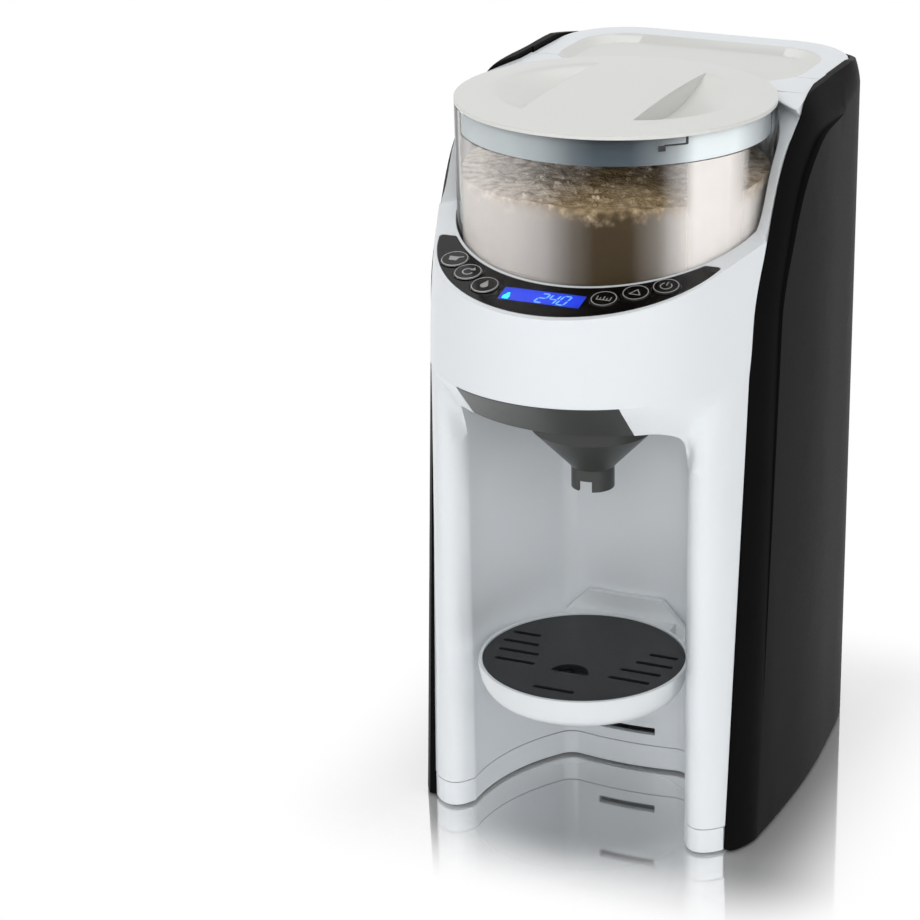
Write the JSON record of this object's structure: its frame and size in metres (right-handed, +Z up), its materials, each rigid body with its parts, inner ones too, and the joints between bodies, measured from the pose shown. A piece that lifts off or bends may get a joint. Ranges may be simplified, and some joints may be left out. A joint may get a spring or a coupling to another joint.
{
  "type": "baby formula maker",
  "caption": "Countertop baby formula maker: white housing, black side panels, clear powder bowl, sloping control fascia, funnel drawer and bottle tray.",
  "frame": {"origin": "middle of the footprint, on the surface the feet stand on", "axes": "+Z up, front with the bottle bay towards -Y, +X to the machine's right as seen from the front"},
  "size_m": [0.1704, 0.2458, 0.3401],
  "materials": {
    "white_shell": "satin white",
    "black_panel": "glossy black",
    "fascia_black": "glossy black",
    "key": "glossy black",
    "display": "lit blue",
    "clear_bowl": "clear",
    "smoke_tank": "smoke",
    "grey_plastic": "satin grey",
    "tray_black": "satin black",
    "tray_bracket": "satin white",
    "wheel": "satin",
    "inner_plastic": "moulded",
    "rubber": "matte",
    "steel": "brushed",
    "heater": "cast",
    "board": "lacquered"
  },
  "bodies": {
    "housing": {"front_shell": "white_shell", "right_side_panel": "black_panel", "left_side_panel": "black_panel", "base_plate": "white_shell", "rubber_feet": "rubber", "control_fascia": "fascia_black", "display_window": "display", "control_board": "board", "gear_motor": "steel", "gear_plate": "inner_plastic", "powder_chute": "inner_plastic", "water_spout": "inner_plastic", "tank_port": "inner_plastic", "port_seal": "rubber", "inner_frame": "inner_plastic", "rear_cover": "white_shell", "power_inlet": "inner_plastic", "power_board": "board", "water_pump": "inner_plastic", "water_heater": "heater", "tank_hose": "rubber", "heater_hose": "rubber", "spout_hose": "rubber", "housing_screws": "steel"},
    "bowl": {"powder_bowl": "clear_bowl", "powder_scraper": "wheel"},
    "seal": {"lid_seal": "rubber"},
    "lid": {"powder_lid": "white_shell"},
    "wheel": {"mixing_wheel": "wheel"},
    "drive": {"drive_shaft": "steel", "drive_gear": "inner_plastic"},
    "pinion": {"motor_pinion": "inner_plastic"},
    "tank": {"water_tank": "smoke_tank"},
    "tank_lid": {"water_tank_lid": "white_shell"},
    "valve": {"tank_valve": "inner_plastic"},
    "drawer": {"funnel_drawer": "grey_plastic", "funnel": "grey_plastic", "funnel_cover": "grey_plastic"},
    "tray": {"tray_body": "white_shell", "tray_bracket": "tray_bracket"},
    "grate": {"tray_grate": "tray_black"},
    "dose_button": {"dose_button": "key"},
    "dial_button": {"dial_button": "key"},
    "water_button": {"water_button": "key"},
    "unit_button": {"unit_button": "key"},
    "start_button": {"start_button": "key"},
    "power_button": {"power_button": "key"}
  },
  "joints": [
    {"name": "bowl_lift", "type": "slide", "parent": "housing", "child": "bowl", "axis": [0, 0, 1], "range_m": [0, 0.08]},
    {"name": "lid_lift", "type": "slide", "parent": "bowl", "child": "seal", "axis": [0, 0, 1], "range_m": [0, 0.06]},
    {"name": "lid_twist", "type": "hinge", "parent": "seal", "child": "lid", "pos_m": [0, -0.021, 0.33], "axis": [0, 0, 1], "range_deg": [0, 30]},
    {"name": "wheel_spin", "type": "hinge", "parent": "bowl", "child": "wheel", "pos_m": [0, -0.021, 0.265], "axis": [0, 0, 1], "continuous": true},
    {"name": "drive_spin", "type": "hinge", "parent": "housing", "child": "drive", "pos_m": [0, -0.021, 0.245], "axis": [0, 0, 1], "continuous": true},
    {"name": "pinion_spin", "type": "hinge", "parent": "housing", "child": "pinion", "pos_m": [0, -0.0002, 0.243], "axis": [0, 0, 1], "continuous": true},
    {"name": "tank_lift", "type": "slide", "parent": "housing", "child": "tank", "axis": [0, 0, 1], "range_m": [0, 0.27]},
    {"name": "tank_lid_lift", "type": "slide", "parent": "tank", "child": "tank_lid", "axis": [0, 0, 1], "range_m": [0, 0.06]},
    {"name": "valve_close", "type": "slide", "parent": "tank", "child": "valve", "axis": [0, 0, 1], "range_m": [-0.0009, 0], "stiffness_N_per_m": 100},
    {"name": "drawer_slide", "type": "slide", "parent": "housing", "child": "drawer", "axis": [0, -1, 0], "range_m": [0, 0.075]},
    {"name": "tray_out", "type": "slide", "parent": "housing", "child": "tray", "axis": [0, -1, 0], "range_m": [0, 0.08]},
    {"name": "grate_lift", "type": "slide", "parent": "tray", "child": "grate", "axis": [0, 0, 1], "range_m": [0, 0.03]},
    {"name": "dose_press", "type": "slide", "parent": "housing", "child": "dose_button", "axis": [0, 0.2425, -0.9701], "range_m": [0, 0.0007], "stiffness_N_per_m": 300},
    {"name": "dial_press", "type": "slide", "parent": "housing", "child": "dial_button", "axis": [0, 0.2425, -0.9701], "range_m": [0, 0.0007], "stiffness_N_per_m": 300},
    {"name": "water_press", "type": "slide", "parent": "housing", "child": "water_button", "axis": [0, 0.2425, -0.9701], "range_m": [0, 0.0007], "stiffness_N_per_m": 300},
    {"name": "unit_press", "type": "slide", "parent": "housing", "child": "unit_button", "axis": [0, 0.2425, -0.9701], "range_m": [0, 0.0007], "stiffness_N_per_m": 300},
    {"name": "start_press", "type": "slide", "parent": "housing", "child": "start_button", "axis": [0, 0.2425, -0.9701], "range_m": [0, 0.0007], "stiffness_N_per_m": 300},
    {"name": "power_press", "type": "slide", "parent": "housing", "child": "power_button", "axis": [0, 0.2425, -0.9701], "range_m": [0, 0.0007], "stiffness_N_per_m": 300}
  ],
  "couplings": [
    {"joint": "drive_spin", "follows": "wheel_spin", "ratio": 1},
    {"joint": "pinion_spin", "follows": "wheel_spin", "ratio": -3.3333}
  ]
}
